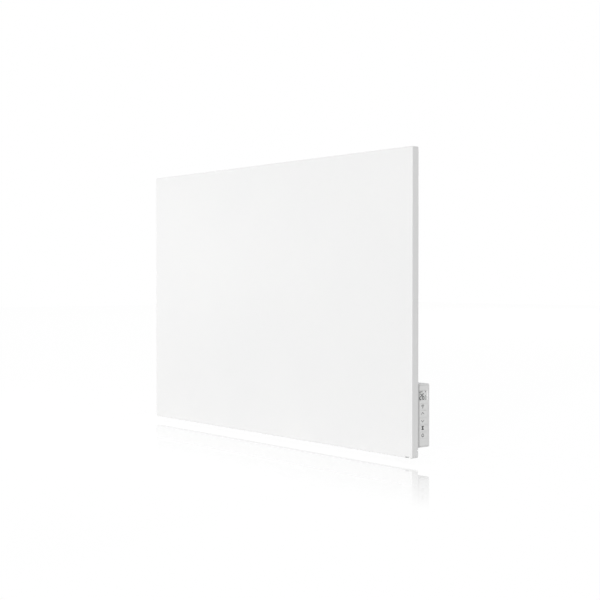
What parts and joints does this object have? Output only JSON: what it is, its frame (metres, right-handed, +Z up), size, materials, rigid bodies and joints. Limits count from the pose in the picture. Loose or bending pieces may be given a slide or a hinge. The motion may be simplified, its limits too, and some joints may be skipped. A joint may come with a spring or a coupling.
{
  "type": "infrared panel heater",
  "caption": "Slim wall-hung infrared panel heater: folded steel tray, back plate on stand-off brackets, side-facing control box with display and press keys.",
  "frame": {"origin": "centre of the bounding box of the whole heater", "axes": "+X to the right seen from the room, -Y faces the room and +Y the wall, +Z up"},
  "size_m": [0.9, 0.055, 0.6],
  "materials": {
    "powder_coat": "satin powder coat",
    "galvanised": "galvanised, spangled",
    "zinc_steel": "zinc plated",
    "copper": "bare copper strip",
    "foil": "bright foil",
    "carbon_film": "carbon printed film",
    "mineral_board": "pressed mineral fibre",
    "housing": "fine moulded texture",
    "key_caps": "satin",
    "clear_lens": "polished",
    "display": "display glass in a frame",
    "circuit": "solder mask",
    "shield": "tinned can",
    "terminal_plastic": "moulded",
    "brown_lead": "silicone sleeve",
    "blue_lead": "silicone sleeve",
    "green_lead": "silicone sleeve",
    "grommet_rubber": "matt",
    "dark_plastic": "moulded"
  },
  "bodies": {
    "heater": {"front_panel": "powder_coat", "status_lens": "dark_plastic", "heating_film": "carbon_film", "busbar_left": "copper", "busbar_right": "copper", "reflector_foil": "foil", "insulation_board": "mineral_board", "back_plate": "galvanised", "back_screw_1": "zinc_steel", "back_screw_2": "zinc_steel", "back_screw_3": "zinc_steel", "back_screw_4": "zinc_steel", "back_screw_5": "zinc_steel", "back_screw_6": "zinc_steel", "back_screw_7": "zinc_steel", "back_screw_8": "zinc_steel", "wall_bracket_upper_left": "galvanised", "rivet_upper_left_left": "zinc_steel", "rivet_upper_left_right": "zinc_steel", "wall_bracket_upper_right": "galvanised", "rivet_upper_right_left": "zinc_steel", "rivet_upper_right_right": "zinc_steel", "wall_bracket_lower_left": "galvanised", "rivet_lower_left_left": "zinc_steel", "rivet_lower_left_right": "zinc_steel", "wall_bracket_lower_right": "galvanised", "rivet_lower_right_left": "zinc_steel", "rivet_lower_right_right": "zinc_steel", "thermal_cutout": "dark_plastic", "wire_grommet": "grommet_rubber", "live_lead": "brown_lead", "neutral_lead": "blue_lead", "cutout_lead": "blue_lead", "earth_lead": "green_lead", "earth_screw": "zinc_steel", "control_base": "housing", "control_cover": "housing", "control_bezel": "housing", "display_lens": "clear_lens", "lcd_module": "display", "key_board": "circuit", "power_board": "circuit", "relay": "dark_plastic", "supply_module": "dark_plastic", "terminal_block": "terminal_plastic", "wifi_module": "shield", "room_sensor": "dark_plastic", "cable_gland": "dark_plastic", "gland_nut": "dark_plastic", "cover_screw_lower_left": "zinc_steel", "cover_screw_lower_right": "zinc_steel", "cover_screw_upper_left": "zinc_steel", "cover_screw_upper_right": "zinc_steel", "base_screw_upper": "zinc_steel", "base_screw_lower": "zinc_steel"},
    "key_wifi": {"key_wifi": "key_caps"},
    "key_up": {"key_up": "key_caps"},
    "key_down": {"key_down": "key_caps"},
    "key_timer": {"key_timer": "key_caps"},
    "key_power": {"key_power": "key_caps"}
  },
  "joints": [
    {"name": "key_wifi_press", "type": "slide", "parent": "heater", "child": "key_wifi", "axis": [-1, 0, 0], "range_m": [0, 0.0005], "stiffness_N_per_m": 1500, "springref_m": -0.0002},
    {"name": "key_up_press", "type": "slide", "parent": "heater", "child": "key_up", "axis": [-1, 0, 0], "range_m": [0, 0.0005], "stiffness_N_per_m": 1500, "springref_m": -0.0002},
    {"name": "key_down_press", "type": "slide", "parent": "heater", "child": "key_down", "axis": [-1, 0, 0], "range_m": [0, 0.0005], "stiffness_N_per_m": 1500, "springref_m": -0.0002},
    {"name": "key_timer_press", "type": "slide", "parent": "heater", "child": "key_timer", "axis": [-1, 0, 0], "range_m": [0, 0.0005], "stiffness_N_per_m": 1500, "springref_m": -0.0002},
    {"name": "key_power_press", "type": "slide", "parent": "heater", "child": "key_power", "axis": [-1, 0, 0], "range_m": [0, 0.0005], "stiffness_N_per_m": 1500, "springref_m": -0.0002}
  ]
}
